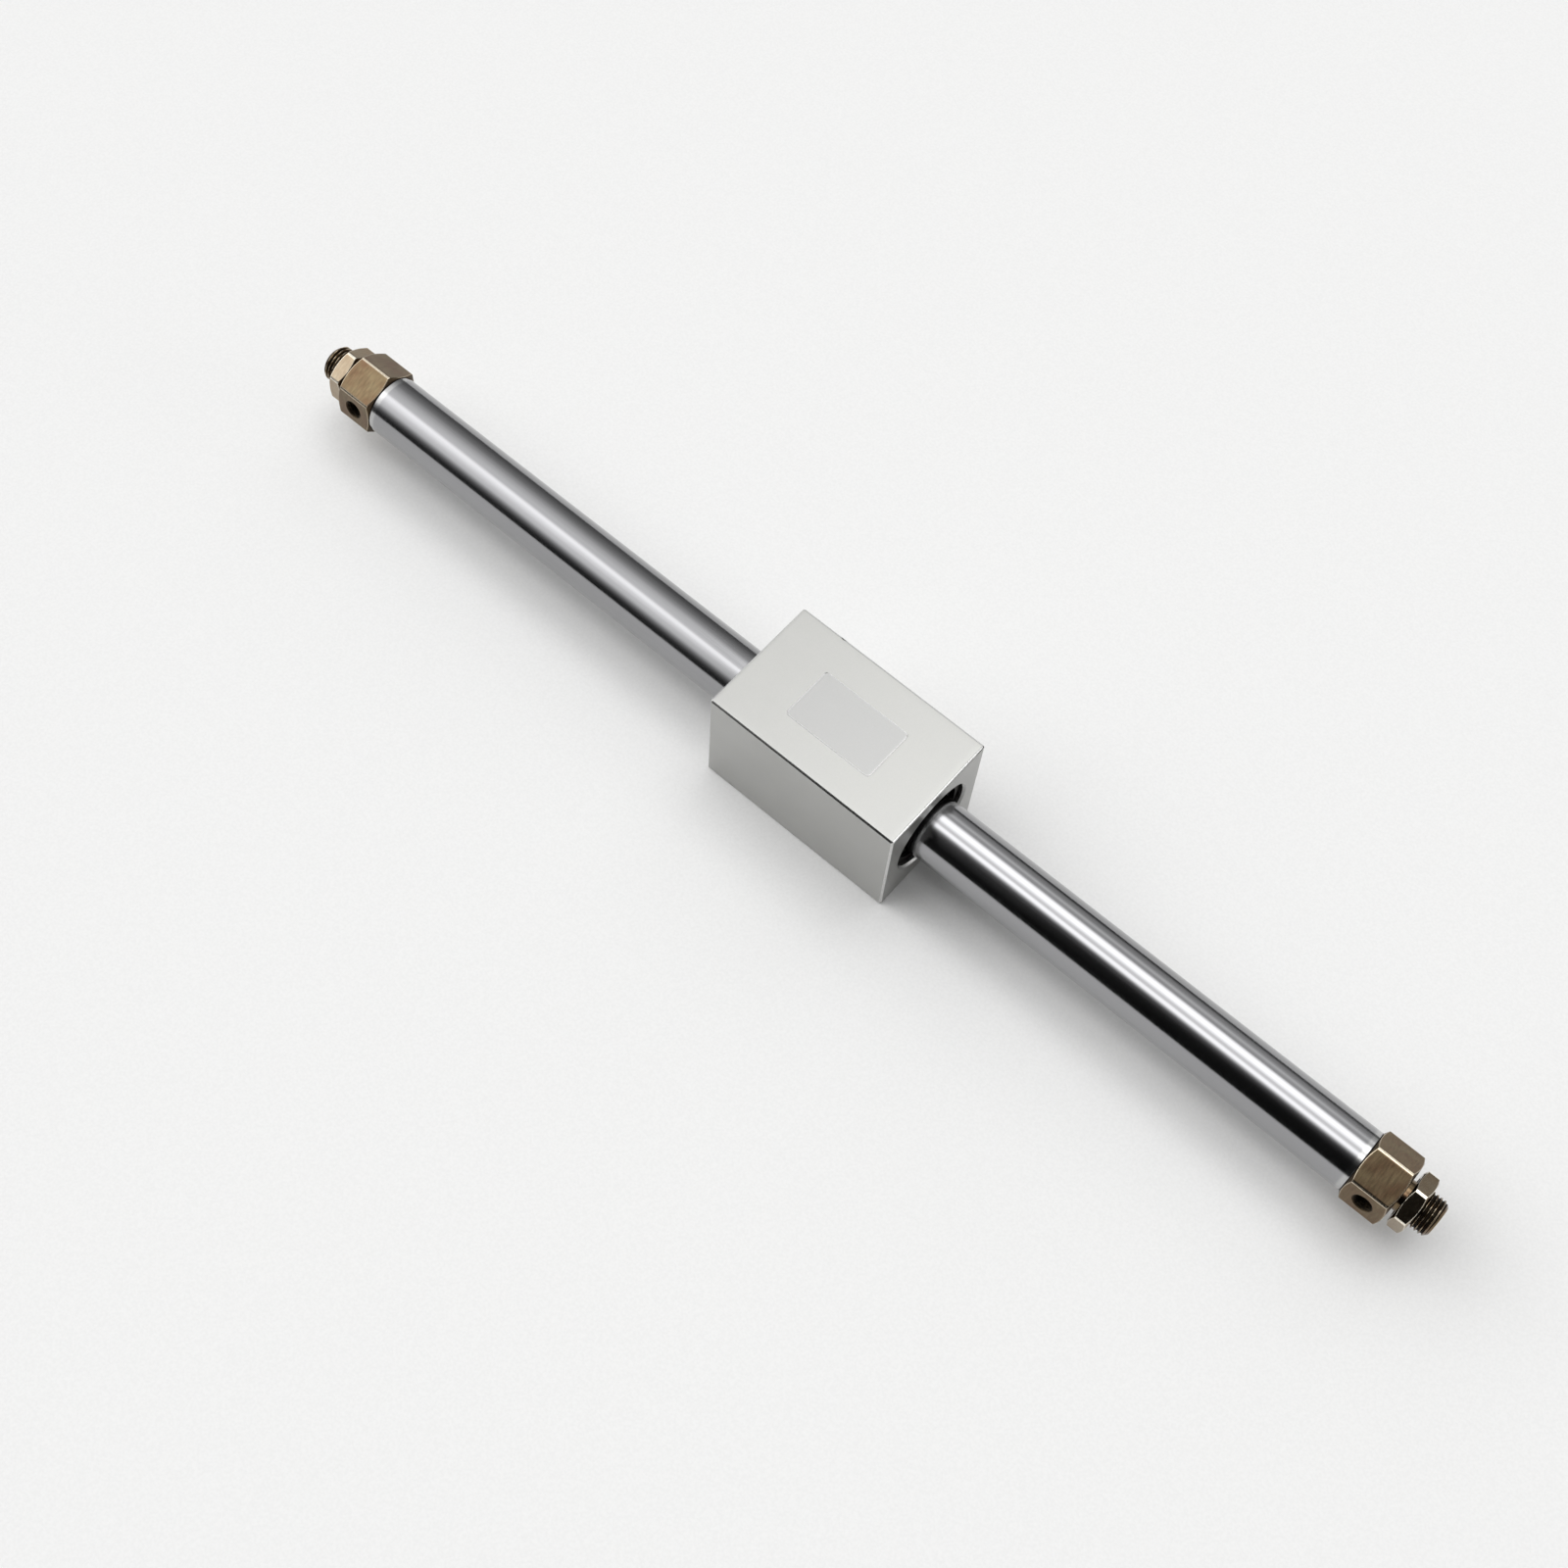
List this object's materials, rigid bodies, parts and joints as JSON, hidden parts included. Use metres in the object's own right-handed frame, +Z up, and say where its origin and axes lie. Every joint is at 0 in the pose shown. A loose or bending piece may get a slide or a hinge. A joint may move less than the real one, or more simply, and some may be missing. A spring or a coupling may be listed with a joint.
{
  "type": "rodless pneumatic cylinder",
  "caption": "Magnetically coupled rodless air cylinder: a square slider block rides on a slim steel tube between hexagonal head covers with threaded studs and nuts.",
  "frame": {"origin": "on the tube's axis at mid-length, which is the centre of the whole assembly's box, with the slider at mid-stroke", "axes": "+X along the tube, +Z up out of the slider's plain top face, -Y towards the side that the air ports face"},
  "size_m": [0.353, 0.035, 0.035],
  "materials": {
    "ground_steel": "ground stainless steel, fine streaks along the tube",
    "cover_bronze": "nickel plated brass with a warm bronze tone, finely machined",
    "nut_nickel": "plated steel with a pale warm tone",
    "anodised_block": "fine satin silver anodised",
    "magnet_nickel": "nickel plated magnet",
    "zinc_steel": "zinc plated rolled steel",
    "shaft_steel": "turned stainless steel",
    "piston_brass": "turned brass",
    "seal_rubber": "smooth nitrile rubber",
    "bumper_urethane": "amber urethane",
    "wear_plastic": "cream bearing plastic",
    "lube_felt": "dark oiled felt",
    "spacer_steel": "blackened steel",
    "ring_steel": "phosphated spring steel"
  },
  "bodies": {
    "cylinder": {"cylinder_tube": "ground_steel", "head_cover_left": "cover_bronze", "head_cover_right": "cover_bronze", "tube_gasket_left": "seal_rubber", "tube_gasket_right": "seal_rubber", "bumper_left": "bumper_urethane", "bumper_right": "bumper_urethane"},
    "piston": {"piston_shaft": "shaft_steel", "piston_left": "piston_brass", "piston_right": "piston_brass", "piston_seal_left": "seal_rubber", "piston_seal_right": "seal_rubber", "piston_wear_ring_left": "wear_plastic", "piston_wear_ring_right": "wear_plastic", "piston_magnet_1": "magnet_nickel", "piston_magnet_2": "magnet_nickel", "piston_magnet_3": "magnet_nickel", "piston_yoke_1": "zinc_steel", "piston_yoke_2": "zinc_steel", "piston_yoke_3": "zinc_steel", "piston_yoke_4": "zinc_steel"},
    "slider": {"slider_body": "anodised_block", "slider_lube_retainer_left": "lube_felt", "slider_lube_retainer_right": "lube_felt", "slider_magnet_1": "magnet_nickel", "slider_magnet_2": "magnet_nickel", "slider_magnet_3": "magnet_nickel", "slider_retaining_ring_left": "ring_steel", "slider_retaining_ring_right": "ring_steel", "slider_spacer_left": "spacer_steel", "slider_spacer_right": "spacer_steel", "slider_wear_ring_left": "wear_plastic", "slider_wear_ring_right": "wear_plastic", "slider_yoke_1": "zinc_steel", "slider_yoke_2": "zinc_steel", "slider_yoke_3": "zinc_steel", "slider_yoke_4": "zinc_steel"},
    "nut_left": {"mounting_nut_left": "nut_nickel"},
    "nut_right": {"mounting_nut_right": "nut_nickel"}
  },
  "joints": [
    {"name": "stroke", "type": "slide", "parent": "cylinder", "child": "piston", "axis": [1, 0, 0], "range_m": [-0.125, 0.125]},
    {"name": "slider_turn", "type": "hinge", "parent": "piston", "child": "slider", "pos_m": [0, 0, 0], "axis": [1, 0, 0], "continuous": true},
    {"name": "nut_left_turn", "type": "hinge", "parent": "cylinder", "child": "nut_left", "pos_m": [-0.1694, 0, 0], "axis": [1, 0, 0], "continuous": true},
    {"name": "nut_right_turn", "type": "hinge", "parent": "cylinder", "child": "nut_right", "pos_m": [0.1697, 0, 0], "axis": [1, 0, 0], "continuous": true}
  ]
}
